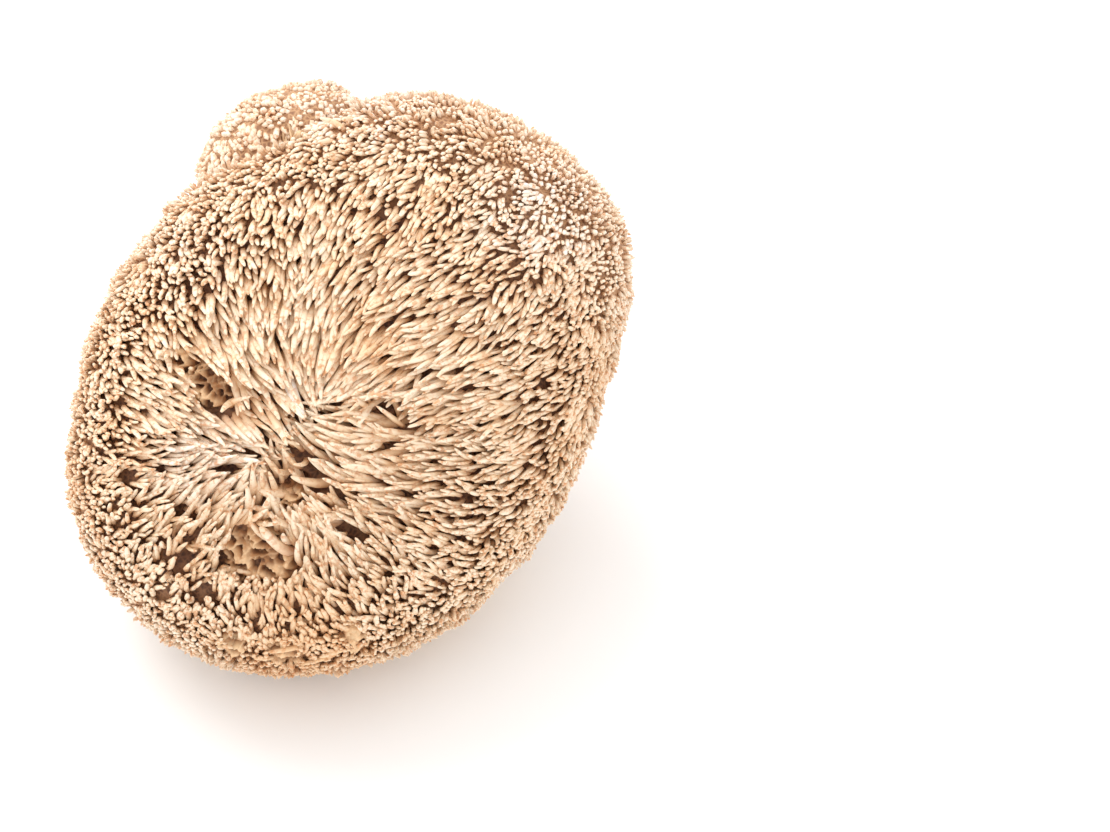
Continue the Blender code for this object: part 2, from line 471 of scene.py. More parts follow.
def cover_cut(mesh):
    """Closes the cut with rings that run in to its middle, on the second material."""
    rim = [tuple(edge.verts) for edge in mesh.edges if edge.is_boundary]
    for ring in range(CUT_RINGS, 0, -1):
        shrink = (ring - 1) / ring if ring > 1 else CUT_MIDDLE
        inner = dict.fromkeys(vertex for pair in rim for vertex in pair)
        for vertex in inner:
            inner[vertex] = mesh.verts.new(vertex.co * shrink)
        for first, second in rim:
            mesh.faces.new((first, second, inner[second], inner[first]))
        rim = [(inner[first], inner[second]) for first, second in rim]
    middle = bmesh.ops.edgeloop_fill(mesh, edges=[mesh.edges.get(pair) for pair in rim])["faces"]
    bmesh.ops.poke(mesh, faces=middle)
    for face in mesh.faces:
        if abs(face.calc_center_median().z) < LEVEL_SLACK:
            face.material_index = 1


def wrinkles(place):
    """Height of the dried skin's folds at a place on the foot, about -1 to 1."""
    around = math.atan2(place.y, place.x)
    fold, crinkle = (
        noise.noise(Vector((math.cos(around) * across, math.sin(around) * across, place.z / MM * up)))
        for across, up in (FOLDS, CRINKLES)
    )
    return 1.2 * (0.3 - 2 * abs(fold)) + 0.6 * crinkle


def paint_fields(mesh, points, normals):
    """Stores on the flesh what the spines read: which way, how long, how thick and how many."""
    outward = unit(points - BODY_CENTRE)
    angle = seam_angle(outward)
    hair = hairiness(points)
    on_left = smooth_step(0.1, 0.6, -(outward @ AXES.T)[:, 0])
    outwards = (TOWARDS_FACE + (TOWARDS_FACE_LEFT - TOWARDS_FACE) * on_left) * smooth_step(40, 100, angle)
    target = to_seam(points) + AXES[2] * outwards[:, None]
    comb = unit(target - normals * (target * normals).sum(1)[:, None])
    off_seam = smooth_step(4 * MM, 12 * MM, np.linalg.norm(target, axis=1))
    swirl = SWIRL * speckle(points, SWIRL_SIZE, 1) * off_seam
    comb = comb * np.cos(swirl)[:, None] + np.cross(normals, comb) * np.sin(swirl)[:, None]
    reach = np.linalg.norm(to_seam(points), axis=1)
    lay = np.minimum(along_angle(LAY, angle), reach * 0.9) * (0.25 + 0.75 * hair)
    fine = FINE_NEAR_SEAM + (1 - FINE_NEAR_SEAM) * smooth_step(3 * MM, 9 * MM, reach)
    lay = lay * (1 - SHORTER_ABOVE * smooth_step(4 * MM, 16 * MM, ((points - BODY_CENTRE) @ AXES.T)[:, 1]))
    lay, standing = clear_gaps(points, comb, lay)
    lobe = on_lobe(points)
    standing = standing * (1 - smooth_step(0.25, 0.6, crease_share(points)))
    dip = 0.5 + 0.5 * smooth_step(0, 7 * MM, reach)
    left, above = outward[:, 0] < -0.05, (outward @ AXES.T)[:, 1] > 0.1
    store(mesh, {
        "rise": along_angle(COAT, angle) * hair * dip * (1 - LOWER_ON_LOBE * lobe) + 0.5 * gap_depth(points),
        "lay": lay,
        "girth": along_angle(GIRTH, angle) * (0.6 + 0.4 * hair) * fine * (1 + THICKER_ON_LOBE * lobe),
        "blunt": along_angle(BLUNT, angle) / MM,
        "whorl": (1 - smooth_step(*WHORL_END, angle)) * standing,
        "face": smooth_step(*FACE_START, angle) * (1 - smooth_step(*FACE_END, angle)) * standing,
        "rim": smooth_step(*RIM_START, angle) * (1 - smooth_step(*RIM_END, angle)) * standing,
        "back": smooth_step(*BACK_START, angle) * smooth_step(0.02, 0.35, hair),
        # pale frosted patches, with the spines made paler towards the rim as painted rim light
        "frost_and_rim_light": spots(points, FROSTED) + 0.5 * smooth_step(55, 82, angle),
        # golden patches, the largest at the bottom partly painted shade
        "gold_and_shade": spots(points, GOLDEN_AND_SHADED),
        # how far the painted shade on the flesh between the spines fades from the deep to the shallow colours
        # towards the rim
        "shade_fades_rimward": smooth_step(48, 80, angle),
        "loose": 1 + LOOSER_ON_LOBE * lobe,
        "bare": 1 - hair,
        "upper_left": (left & above) * 1.0,
        "lower_left": (left & ~above) * 1.0,
        "upper_right": (~left & above) * 1.0,
        "lower_right": (~left & ~above) * 1.0,
        "all": np.ones(len(points)),
        "comb": comb,
        "up": normals,
    })


def make_flesh(materials):
    """The closed body under the spines, with its skin, its foot and its cut."""
    mesh = flesh_base()
    cover_cut(mesh)
    bmesh.ops.recalc_face_normals(mesh, faces=mesh.faces)
    mesh.normal_update()
    places = np.array([vertex.co for vertex in mesh.verts])
    normals = np.array([vertex.normal for vertex in mesh.verts])
    bare = 1 - hairiness(places)
    folds = np.zeros(len(places))
    for vertex, skin in zip(mesh.verts, bare):
        if vertex.co.z > 0.2 * MM:
            folds[vertex.index] = wrinkles(vertex.co)
            lift = folds[vertex.index] * WRINKLE_DEPTH * (0.15 + 0.85 * float(skin))
            vertex.co += vertex.normal * min(lift, MOST_WRINKLE) * min(1.0, vertex.co.z / (1.5 * MM))
    data = bpy.data.meshes.new("flesh")
    mesh.to_mesh(data)
    mesh.free()
    store(data, {"fold": folds})
    paint_fields(data, places, normals)
    data.shade_smooth()
    for material in materials:
        data.materials.append(material)
    return put_in_scene("flesh", data)


def wall_height(places, stretch, size):
    """Height of the thin ragged walls left between broken spines, about 0 to 1."""
    noise.seed_set(WALL_SEED)
    facing = (places - BODY_CENTRE) @ AXES.T / MM
    heights = []
    for right, rise, out in facing:
        warp = noise.noise_vector(Vector((right, rise, out)) * WARP_FINENESS) * WALL_WARP
        cell = (Vector((right / stretch, rise, out)) + warp) / size
        near = noise.voronoi(cell)[0]
        edge = (near[1] - near[0]) * size * MM
        spot = Vector((right, rise, out))
        ragged = 0.7 + 0.6 * noise.noise(spot * 0.55) + 0.25 * noise.noise(spot * 2)
        heights.append((1 - float(smooth_step(WALL_HALF, WALL_FOOT, edge))) * ragged)
    return np.array(heights)


def under(flat):
    """Directions from the body's centre to the flesh at places on the face, given by right and rise in mm."""
    facing = np.column_stack([flat * MM, np.full(len(flat), FIRST_GUESS_OUT)])
    for _ in range(FLESH_ROUNDS):
        facing[:, 2] = ((flesh_places(unit(facing @ AXES)) - BODY_CENTRE) @ AXES.T)[:, 2]
    return unit(facing @ AXES)


def make_comb(number, place, finish):
    """A round patch of thin ragged walls, left by broken spines, closed below inside the flesh."""
    right, rise, radius, stretch, size = place
    rings = int(radius * MM / COMB_STEP)
    around = int(2 * math.pi * radius * MM / COMB_STEP / 1.6)
    turns = np.arange(around) * 2 * math.pi / around
    spots_out = np.arange(1, rings + 1) / rings * radius
    ring_spots = [
        (right + reach * math.cos(turn), rise + reach * math.sin(turn))
        for reach in spots_out for turn in turns
    ]
    flat = np.array([(right, rise), *ring_spots])
    directions = under(flat)
    floor_places = flesh_places(directions)
    away = np.hypot(flat[:, 0] - right, flat[:, 1] - rise) / radius
    height = wall_height(floor_places, stretch, size) * WALL_RISE * (1 - smooth_step(0.7, 1.0, away))
    comb = unit(to_seam(floor_places))
    places = floor_places + directions * (height - COMB_SUNK)[:, None] + comb * (COMB_LEAN * height)[:, None]
    faces = [(0, 1 + spot, 1 + (spot + 1) % around) for spot in range(around)]
    for ring in range(rings - 1):
        low, high = 1 + ring * around, 1 + (ring + 1) * around
        for spot in range(around):
            after = (spot + 1) % around
            faces.append((low + spot, high + spot, high + after, low + after))
    top, rim, middle = len(places), len(places) - around, len(places) + around
    below = places - directions * COMB_ROOT
    places = np.vstack([places, below[rim:], below[:1]])
    shares = np.concatenate([height / WALL_RISE, np.zeros(around + 1)])
    for spot in range(around):
        after = (spot + 1) % around
        faces.append((rim + spot, top + spot, top + after, rim + after))
        faces.append((middle, top + after, top + spot))
    mesh = bpy.data.meshes.new("broken_comb_%d" % number)
    mesh.from_pydata(places.tolist(), [], faces)
    store(mesh, {"along": shares})
    mesh.shade_smooth()
    mesh.materials.append(finish)
    return put_in_scene(mesh.name, mesh)


# The spines

# Spines placed one by one: root and tip on the face (right and rise in mm), radius in mm, bluntness, tone,
# frost with painted rim light, gold with painted shade, how high the tip is lifted in mm, and how far it bows
# sideways as a share of its length
PLACED = (
    (12.0, -5.6, 1.2, -4.8, 0.95, 0.3, 0.4, 0, 0.2, 3.6, 0.1),
    (15.2, -4.3, 10.2, -4.1, 0.7, 0.6, 0.4, 0, 0.4, 2.6, -0.15),
    (7.1, -5.8, 1.5, -8.1, 0.72, 0.1, 0.6, 0, 0.1, 3.4, 0.22),
    (12.0, -9.2, 7.4, -6.3, 0.75, 0.2, 0.5, 0, 0.1, 3.6, -0.2),
    (13.2, -9.2, 4.3, -10.2, 0.74, 0.1, 0.6, 0, 0.1, 3.6, 0.12),
    (5.8, -9.2, -2.0, -7.8, 0.8, 0.2, 0.5, 0.1, 0.1, 3.6, 0.15),
    (2.0, -5.6, -3.0, -6.6, 0.7, 0.1, 0.6, 0.1, 0, 3.8, -0.12),
    (11.2, -12.7, 5.6, -12.5, 0.76, 0.3, 0.6, 0, 0.1, 3.4, -0.15),
    (0.0, -15.3, -5.6, -12.7, 0.78, 0.1, 0.5, 0, 0.1, 3.8, 0.12),
    (1.2, -21.4, -4.8, -18.8, 0.8, 0.1, 0.5, 0, 0.1, 3.6, 0.15),
    (15.0, -6.4, 11.9, -7.4, 0.62, 0.2, 0.5, 0, 0.2, 2.6, 0.1),
    (-6.4, -26.7, -9.6, -20.1, 0.92, 0.35, 0.7, 0.1, 0, 3.8, 0.1),
    (-8.6, -24.6, -11.4, -19.0, 0.66, 0.2, 0.6, 0.1, 0, 3.8, 0.14),
    (-6.3, -24.8, -6.6, -21.0, 0.62, 0.1, 0.6, 0.2, 0, 3.6, 0.2),
    (-12.9, -21.3, -14.4, -17.2, 0.58, 0.2, 0.6, 0.3, 0, 3.2, -0.2),
    (-6.6, -19.5, -12.5, -16.8, 0.62, 0.1, 0.4, 0, 0.1, 3.4, 0.1),
    (-5.6, -16.7, -10.2, -15.2, 0.82, 0.6, 0.5, 0, 0.2, 3.0, 0.1),
    (1.2, -21.3, -4.8, -19.5, 0.72, 0.1, 0.5, 0, 0.1, 3.6, -0.1),
    (-1.3, -33.8, -5.3, -28.7, 0.72, 0.1, 0.6, 0, 0.1, 3.6, 0.1),
    (-7.6, -31.7, -10.4, -30.2, 0.62, 0.3, 0.6, 0, 0.2, 3.2, 0.2),
    (-16.2, -21.3, -20.3, -16.2, 0.66, 0.3, 0.7, 0.3, 0, 3.2, 0.08),
    (-15.7, -38.1, -16.8, -33.0, 0.55, 0.3, 0.8, 0.3, 0, 2.8, 0.05),
    (-13.7, -28.9, -16.7, -26.9, 0.5, 0.8, 0.4, 0, 0.5, 2.2, 0.1),
    (-12.0, -29.9, -14.4, -27.6, 0.5, 0.8, 0.4, 0, 0.5, 2.0, -0.2),
    (-7.3, 3.6, -3.8, -3.5, 0.72, 0.15, 1, 1.6, 0, 4.2, -0.06),
    (3.1, -39.8, -5.0, -38.9, 0.56, 0.3, 0.3, 0, 1, 1.6, 0.12),
    (3.5, -42.2, -3.5, -43.2, 0.5, 0.3, 0.3, 0, 1, 1.4, -0.12),
    (-2.0, -37.6, -8.4, -35.0, 0.54, 0.2, 0.5, 0, 0.7, 2.0, 0.1),
    (-9.4, -40.4, -14.0, -38.3, 0.52, 0.3, 0.5, 0, 0.7, 1.8, 0.15),
    (-4.5, -42.1, -11.4, -41.7, 0.5, 0.4, 0.3, 0, 1, 1.4, -0.14),
    (-13.7, -42.1, -18.5, -41.1, 0.5, 0.4, 0.3, 0, 0.9, 1.3, 0.15),
    (0.8, -44.6, -7.4, -45.2, 0.5, 0.4, 0.2, 0, 1, 1.2, -0.1),
    (-7.4, -44.2, -14.4, -43.7, 0.5, 0.4, 0.2, 0, 1, 1.2, 0.1),
    (8.2, -39.1, 2.8, -36.5, 0.54, 0.2, 0.5, 0, 0.6, 1.8, 0.12),
    (11.6, -35.5, 5.1, -33.8, 0.52, 0.2, 0.5, 0, 0.5, 2.0, -0.1),
    (1.8, 40.4, -2.6, 39.8, 0.46, 0.3, 0.5, 0.1, 0.1, 3.0, -0.25),
    (3.6, 42.7, 1.2, 39.4, 0.45, 0.3, 0.7, 0.2, 0.1, 2.8, -0.3),
    (4.5, 41.7, 2.8, 37.1, 0.42, 0.2, 0.8, 0.3, 0, 2.8, 0.2),
    (5.4, 40.4, 3.8, 35.5, 0.42, 0.2, 0.8, 0.3, 0, 2.8, -0.15),
    (-0.7, 38.8, -2.3, 35.5, 0.44, 0.3, 0.7, 0.2, 0, 2.8, 0.2),
)
PLACED_SIDES = 10
PLACED_RINGS = 14
ALL_ROUND = ("all",)
QUARTERS = ("upper_left", "lower_left", "upper_right", "lower_right")
# Coats of spines: the share and areas of the flesh they take, their spacing in mm, sides and rings
COATS = (
    ("whorl", ALL_ROUND, 1.24, 8, 10),
    ("face", QUARTERS, 0.85, 6, 7),
    ("rim", QUARTERS, 0.74, 5, 4),
    ("back", ALL_ROUND, 1.02, 4, 4),
)
ROOT_SEED = 11
WHIM_SEED = 3
TONE_SEED = 5
ROOTS_TRIED = 3.0
SPREAD = 0.18
BEND = 0.26
MIDDLE_UP = 0.62
MIDDLE_ALONG = 0.22
UNEVEN = 0.3
REACH_VARIES = 0.2
THINNEST, THICKER_BY = 0.75, 0.5
RINGS_CROWD = 1.7
CROSS_SECTION = (1.12, 0.9, 1.0)
CLUMP_SIZE = 4.2 * MM
CLUMP_PULL = 0.2
DRIFT_SIZE = 5.5 * MM
DRIFT = 1.3 * MM
ROOT_DEPTH = 0.6 * MM
KNOBS = 0.08 * MM
KNOB_SIZE = 0.9 * MM
FLOOR_CLEARANCE = 0.6 * MM
KEPT_FIELDS = ("along", "tone", "frost_and_rim_light", "gold_and_shade", "sharp_face", "material_index")
# Thickness of a pointed and of a blunt spine along its length, from root to tip
POINTED = (
    (0.0, 0.96), (0.3, 1.0), (0.5, 0.98), (0.7, 0.84), (0.86, 0.6), (0.95, 0.4), (0.985, 0.26), (1.0, 0.08),
)
BLUNT_END = (
    (0.0, 0.8), (0.4, 0.88), (0.75, 1.0), (0.9, 0.98), (0.96, 0.82), (0.985, 0.6), (1.0, 0.2),
)


def random_value(tree, kind, low, high, seed):
    """A value drawn for each point, the same on every run."""
    made = node(tree, "FunctionNodeRandomValue", {"Seed": seed}, data_type=kind)
    shape = "VECTOR" if kind == "FLOAT_VECTOR" else "VALUE"
    for name, value in (("Min", low), ("Max", high)):
        socket = next(one for one in made.inputs if (one.name, one.type) == (name, shape))
        socket.default_value = value
    return next(one for one in made.outputs if one.type == shape)


def placed_roots():
    """A mesh of loose points, one for each placed spine, with what each one needs to know."""
    table = np.array(PLACED)
    roots, tips = flesh_places(under(table[:, 0:2])), flesh_places(under(table[:, 2:4]))
    up = unit(unit(roots - BODY_CENTRE) + unit(tips - BODY_CENTRE))
    span = tips - roots
    climb = (span * up).sum(1)
    reach = span - up * climb[:, None]
    girth, blunt, tone, frost_and_rim_light, gold_and_shade, lift, bow = table[:, 4:].T
    none = np.zeros(len(table))
    mesh = bpy.data.meshes.new("placed_roots")
    mesh.from_pydata(roots.tolist(), [], [])
    store(mesh, {
        "rise": lift * MM + climb,
        "lay": np.linalg.norm(reach, axis=1),
        "girth": girth * MM,
        "blunt": blunt,
        "tone": tone,
        "frost_and_rim_light": frost_and_rim_light,
        "gold_and_shade": gold_and_shade,
        "loose": none,
        "comb": unit(reach),
        "up": up,
        "whim": np.column_stack([none, bow / BEND, none]),
    })
    return bpy.data.objects.new("placed_roots", mesh)


def scatter_roots(tree, given):
    """Points on the flesh where the spines start, with what each one needs to know."""
    area = calc(tree, "MULTIPLY", given["Spacing"], given["Spacing"])
    spread = node(tree, "GeometryNodeDistributePointsOnFaces", {
        "Mesh": given["Flesh"],
        "Distance Min": given["Spacing"],
        "Density Max": calc(tree, "DIVIDE", ROOTS_TRIED, area),
        "Density Factor": given["Share"],
        "Seed": ROOT_SEED,
    }, distribute_method="POISSON")
    outside = node(tree, "FunctionNodeCompare", {0: given["Within"], 1: 0.5}, operation="LESS_THAN")
    points = node(tree, "GeometryNodeDeleteGeometry", {
        "Geometry": spread.outputs["Points"],
        "Selection": outside.outputs[0],
    }).outputs[0]
    place = node(tree, "GeometryNodeInputPosition").outputs[0]
    points = keep(tree, points, "root", place, "FLOAT_VECTOR")
    whim = random_value(tree, "FLOAT_VECTOR", (-1, -1, -1), (1, 1, 1), WHIM_SEED)
    points = keep(tree, points, "whim", whim, "FLOAT_VECTOR")
    return keep(tree, points, "tone", random_value(tree, "FLOAT", 0.0, 1.0, TONE_SEED))


def clump_shift(tree, root):
    """Draws neighbouring tips together in tufts and lets whole patches drift sideways."""
    tufts = {"Vector": root, "Scale": 1 / CLUMP_SIZE, "Randomness": 1.0}
    cells = node(tree, "ShaderNodeTexVoronoi", tufts)
    to_middle = vector(tree, "SUBTRACT", cells.outputs["Position"], root)
    patches = {"Vector": root, "Scale": 1 / DRIFT_SIZE, "Detail": 1.0}
    drift = node(tree, "ShaderNodeTexNoise", patches)
    wander = vector(tree, "SUBTRACT", drift.outputs["Color"], (0.5, 0.5, 0.5))
    return vector(tree, "ADD", scaled(tree, to_middle, CLUMP_PULL), scaled(tree, wander, 2 * DRIFT))


def bend_lines(tree, lines):
    """Lays each line along its own curve: out of the flesh first, then over along the comb."""
    root, whim = field(tree, "root", "FLOAT_VECTOR"), field(tree, "whim", "FLOAT_VECTOR")
    up = vector(tree, "NORMALIZE", field(tree, "up", "FLOAT_VECTOR"))
    comb = vector(tree, "NORMALIZE", field(tree, "comb", "FLOAT_VECTOR"))
    side = vector(tree, "CROSS_PRODUCT", up, comb)
    parts = node(tree, "ShaderNodeSeparateXYZ", {0: whim}).outputs

    def product(first, second):
        return calc(tree, "MULTIPLY", first, second)

    def added(first, second):
        return vector(tree, "ADD", first, second)

    varied = calc(tree, "MULTIPLY_ADD", field(tree, "tone"), 2 * REACH_VARIES, 1 - REACH_VARIES)
    lay = product(field(tree, "lay"), varied)
    height = product(field(tree, "rise"), calc(tree, "MULTIPLY_ADD", parts["Z"], UNEVEN, 1.0))
    sideways = product(product(parts["X"], SPREAD), lay)
    tip = added(scaled(tree, up, height), scaled(tree, comb, lay))
    tip = added(tip, scaled(tree, side, sideways))
    tip = added(tip, scaled(tree, clump_shift(tree, root), field(tree, "loose")))
    bow = product(product(parts["Y"], BEND), lay)
    upwards = scaled(tree, up, product(height, MIDDLE_UP))
    middle = added(upwards, scaled(tree, comb, product(lay, MIDDLE_ALONG)))
    middle = added(middle, scaled(tree, side, bow))
    along = field(tree, "along")
    left = calc(tree, "SUBTRACT", 1.0, along)
    pull = product(product(along, left), 2.0)
    path = added(scaled(tree, middle, pull), scaled(tree, tip, product(along, along)))
    sunk = scaled(tree, up, product(left, -ROOT_DEPTH))
    place = added(added(root, path), sunk)
    spread = node(tree, "ShaderNodeSeparateXYZ", {0: place}).outputs
    above = calc(tree, "MAXIMUM", spread[2], FLOOR_CLEARANCE)
    place = node(tree, "ShaderNodeCombineXYZ", {0: spread[0], 1: spread[1], 2: above}).outputs[0]
    return node(tree, "GeometryNodeSetPosition", {"Geometry": lines, "Position": place}).outputs[0]


def spine_lines(tree, points, rings):
    """One bent line on each point, with more of its rings towards the tip."""
    line = node(tree, "GeometryNodeCurvePrimitiveLine", {"Start": (0, 0, 0), "End": (0, 0, 1)})
    line = node(tree, "GeometryNodeResampleCurve", {"Curve": line.outputs[0], "Count": rings})
    lines = node(tree, "GeometryNodeInstanceOnPoints", {"Points": points, "Instance": line.outputs[0]})
    lines = node(tree, "GeometryNodeRealizeInstances", {0: lines.outputs[0]}).outputs[0]
    step = node(tree, "GeometryNodeSplineParameter").outputs["Factor"]
    from_tip = calc(tree, "POWER", calc(tree, "SUBTRACT", 1.0, step), RINGS_CROWD)
    lines = keep(tree, lines, "along", calc(tree, "SUBTRACT", 1.0, from_tip))
    return bend_lines(tree, lines)


def spine_skin(tree, lines, sides):
    """A tapered, slightly knobbly skin round each line."""
    along = field(tree, "along")
    pointed, rounded = curve_map(tree, along, POINTED), curve_map(tree, along, BLUNT_END)
    blunter = calc(tree, "SUBTRACT", rounded, pointed)
    shape = calc(tree, "MULTIPLY_ADD", blunter, field(tree, "blunt"), pointed)
    thickness = calc(tree, "MULTIPLY", field(tree, "girth"), shape)
    tone = calc(tree, "MULTIPLY_ADD", field(tree, "tone"), THICKER_BY, THINNEST)
    ring = node(tree, "GeometryNodeCurvePrimitiveCircle", {"Resolution": sides, "Radius": 1.0})
    ring = node(tree, "GeometryNodeTransform", {"Geometry": ring.outputs[0], "Scale": CROSS_SECTION})
    skin = node(tree, "GeometryNodeCurveToMesh", {
        "Curve": lines,
        "Profile Curve": ring.outputs[0],
        "Scale": calc(tree, "MULTIPLY", thickness, tone),
        "Fill Caps": True,
    }).outputs[0]
    skin = node(tree, "GeometryNodeSetShadeSmooth", {"Geometry": skin, "Shade Smooth": True}).outputs[0]
    bumps = node(tree, "ShaderNodeTexNoise", {"Scale": 1 / KNOB_SIZE, "Detail": 1.0}).outputs[0]
    push = calc(tree, "MULTIPLY", calc(tree, "SUBTRACT", bumps, 0.5), 2 * KNOBS)
    offset = scaled(tree, node(tree, "GeometryNodeInputNormal").outputs[0], push)
    return node(tree, "GeometryNodeSetPosition", {"Geometry": skin, "Offset": offset}).outputs[0]


def spine_tree(scattered):
    """Grows bent, tapered spines all over the flesh, or one on each given point, combed as the fields say."""
    tree = bpy.data.node_groups.new("spines", "GeometryNodeTree")
    add_sockets(tree, "INPUT", Flesh="Geometry", Sides="Int", Rings="Int", Finish="Material")
    if scattered:
        add_sockets(tree, "INPUT", Spacing="Float", Share="Float", Within="Float")
    add_sockets(tree, "OUTPUT", Spines="Geometry")
    given = tree.nodes.new("NodeGroupInput").outputs
    if scattered:
        points = scatter_roots(tree, given)
    else:
        place = node(tree, "GeometryNodeInputPosition").outputs[0]
        points = keep(tree, given["Flesh"], "root", place, "FLOAT_VECTOR")
    skin = spine_skin(tree, spine_lines(tree, points, given["Rings"]), given["Sides"])
    whole = node(tree, "GeometryNodeRealizeInstances", {0: skin}).outputs[0]
    done = node(tree, "GeometryNodeSetMaterial", {"Geometry": whole, "Material": given["Finish"]})
    node(tree, "NodeGroupOutput", {0: done.outputs[0]})
    return tree


def set_input(modifier, name, value):
    """Sets a modifier's input by its socket's identifier. Text names a field on the surface."""
    items = modifier.node_group.interface.items_tree
    key = next(item.identifier for item in items if item.name == name and item.in_out == "INPUT")
    if isinstance(value, str):
        modifier[key + "_use_attribute"] = True
        modifier[key + "_attribute_name"] = value
    else:
        modifier[key] = value


def grow(name, ground, tree, **inputs):
    """Runs the tree on its ground and turns what grows into a plain piece."""
    base = put_in_scene(name + "_base", ground.data)
    modifier = base.modifiers.new("spines", "NODES")
    modifier.node_group = tree
    for label, value in inputs.items():
        set_input(modifier, label, value)
    graph = bpy.context.evaluated_depsgraph_get()
    grown = base.evaluated_get(graph)
    mesh = bpy.data.meshes.new_from_object(grown, preserve_all_data_layers=True, depsgraph=graph)
    base.modifiers.remove(modifier)
    bpy.data.objects.remove(base)
    mesh.name = name
    for spare in [held.name for held in mesh.attributes if not held.is_internal]:
        if spare not in KEPT_FIELDS and not mesh.attributes[spare].is_required:
            mesh.attributes.remove(mesh.attributes[spare])
    return put_in_scene(name, mesh)


def grow_coats(flesh, finish):
    """The spines that the flesh carries, from the whorl round to the back."""
    tree = spine_tree(True)
    coats = []
    for share, areas, spacing, sides, rings in COATS:
        for area in areas:
            name = share if area == "all" else area + "_" + share
            coats.append(grow(
                name + "_spines", flesh, tree, Finish=finish, Share=share, Within=area,
                Spacing=spacing * MM, Sides=sides, Rings=rings,
            ))
    return coats


def grow_placed(finish):
    """The spines that stand where they are placed one by one."""
    roots = placed_roots()
    sizes = {"Sides": PLACED_SIDES, "Rings": PLACED_RINGS}
    placed = grow("placed_spines", roots, spine_tree(False), Finish=finish, **sizes)
    bpy.data.objects.remove(roots)
    return placed


# Finishes

AREA_SIZE = 6 * MM
CELL_SIZE = 0.9 * MM
PORE_STRENGTH = 0.6
# Colours along a spine from root to tip, and over it; the dark brown at the root is partly painted shade deep
# among the spines
SPINE_COLOURS = (
    (0.0, (0.56, 0.25, 0.11)),
    (0.3, (0.82, 0.49, 0.26)),
    (0.6, (0.90, 0.68, 0.45)),
    (0.85, (0.93, 0.78, 0.60)),
    (1.0, (0.90, 0.70, 0.50)),
)
CREAM = (0.95, 0.85, 0.70)
HONEY = (0.82, 0.54, 0.29)
# pale frost colour, also used as painted rim light
FROST_AND_RIM_LIGHT = (0.94, 0.89, 0.84)
GOLD_AND_SHADE = (0.80, 0.50, 0.25)
RUST = (0.68, 0.31, 0.12)
# Colours from the cells to the edges of the broken walls, nearly black down in the cells as painted shade
WALL_COLOURS = (
    (0.0, (0.06, 0.024, 0.013)),
    (0.3, (0.32, 0.15, 0.065)),
    (0.8, (0.84, 0.58, 0.34)),
)
WALL_STAIN = (0.62, 0.31, 0.13)
# Colours of the flesh from the edge to the middle of its cells, on the face and towards the rim: its brown
# darkened as painted shade between the spines, nearly black in the deep gaps and darkest in the cells'
# middles, lighter towards the rim
DEEP_SHADE_COLOURS = (
    (0.0, (0.20, 0.09, 0.043)),
    (0.2, (0.11, 0.047, 0.024)),
    (0.4, (0.06, 0.024, 0.014)),
)
SHALLOW_SHADE_COLOURS = (
    (0.0, (0.60, 0.36, 0.19)),
    (0.18, (0.38, 0.19, 0.1)),
    (0.4, (0.25, 0.12, 0.06)),
)
# Colours from the bottom to the top of the foot's folds, darker at the bottom as painted shade
FOLD_COLOURS = ((0.0, (0.30, 0.15, 0.06)), (0.6, (0.66, 0.46, 0.25)))
SKIN_STAIN = (0.34, 0.17, 0.08)
# Colours from the middle to the skin of the cut
CUT_COLOURS = (
    (0.0, (0.80, 0.66, 0.46)),
    (0.75, (0.74, 0.57, 0.36)),
    (0.97, (0.46, 0.28, 0.13)),
)
CUT_STAIN = (0.58, 0.39, 0.21)


def material_with_shader(name):
    """A new material, its nodes and its shader."""
    material = bpy.data.materials.new(name)
    material.use_nodes = True
    return material, material.node_tree, material.node_tree.nodes["Principled BSDF"]


def ramp(tree, value, stops):
    """Colours read off a scale."""
    made = node(tree, "ShaderNodeValToRGB", {0: value})
    elements = made.color_ramp.elements
    elements[0].position, elements[0].color = stops[0][0], (*stops[0][1], 1)
    elements[1].position, elements[1].color = stops[-1][0], (*stops[-1][1], 1)
    for place, colour in stops[1:-1]:
        elements.new(place).color = (*colour, 1)
    return made.outputs[0]


def mixed(tree, share, first, second):
    """The first colour, with a share of the second."""
    made = node(tree, "ShaderNodeMix", {"Factor": share}, data_type="RGBA", blend_type="MIX")
    for socket, value in zip([one for one in made.inputs if one.type == "RGBA"], (first, second)):
        if isinstance(value, bpy.types.NodeSocket):
            tree.links.new(value, socket)
        else:
            socket.default_value = (*value, 1)
    return next(one for one in made.outputs if one.type == "RGBA")


def shader_field(tree, name):
    """A value that the surface carries by name, for a material."""
    return node(tree, "ShaderNodeAttribute", attribute_name=name).outputs["Fac"]


def own_place(tree):
    """The place on the piece itself."""
    return node(tree, "ShaderNodeTexCoord").outputs["Object"]


def clouds(tree, place, scale, detail):
    """Soft noise from 0 to 1."""
    inputs = {"Vector": place, "Scale": scale, "Detail": detail}
    return node(tree, "ShaderNodeTexNoise", inputs).outputs[0]


def between(tree, value, low, high, most=1.0):
    """0 up to the low value, rising to the most at the high one."""
    inputs = {"Value": value, "From Min": low, "From Max": high, "To Max": most}
    return node(tree, "ShaderNodeMapRange", inputs).outputs[0]


def mottling():
    """A node group that stains one colour with another in soft patches and gives the height of fine pores."""
    tree = bpy.data.node_groups.new("mottling", "ShaderNodeTree")
    add_sockets(tree, "INPUT", Place="Vector", Base="Color", Stain="Color", Fineness="Float", Amount="Float")
    add_sockets(tree, "OUTPUT", Colour="Color", Height="Float")
    given = tree.nodes.new("NodeGroupInput").outputs
    patches = clouds(tree, given["Place"], given["Fineness"], 3.0)
    share = calc(tree, "MULTIPLY", between(tree, patches, 0.5, 0.63), given["Amount"])
    finer = calc(tree, "MULTIPLY", given["Fineness"], 2.7)
    node(tree, "NodeGroupOutput", {
        "Colour": mixed(tree, share, given["Base"], given["Stain"]),
        "Height": clouds(tree, given["Place"], finer, 2.0),
    })
    return tree


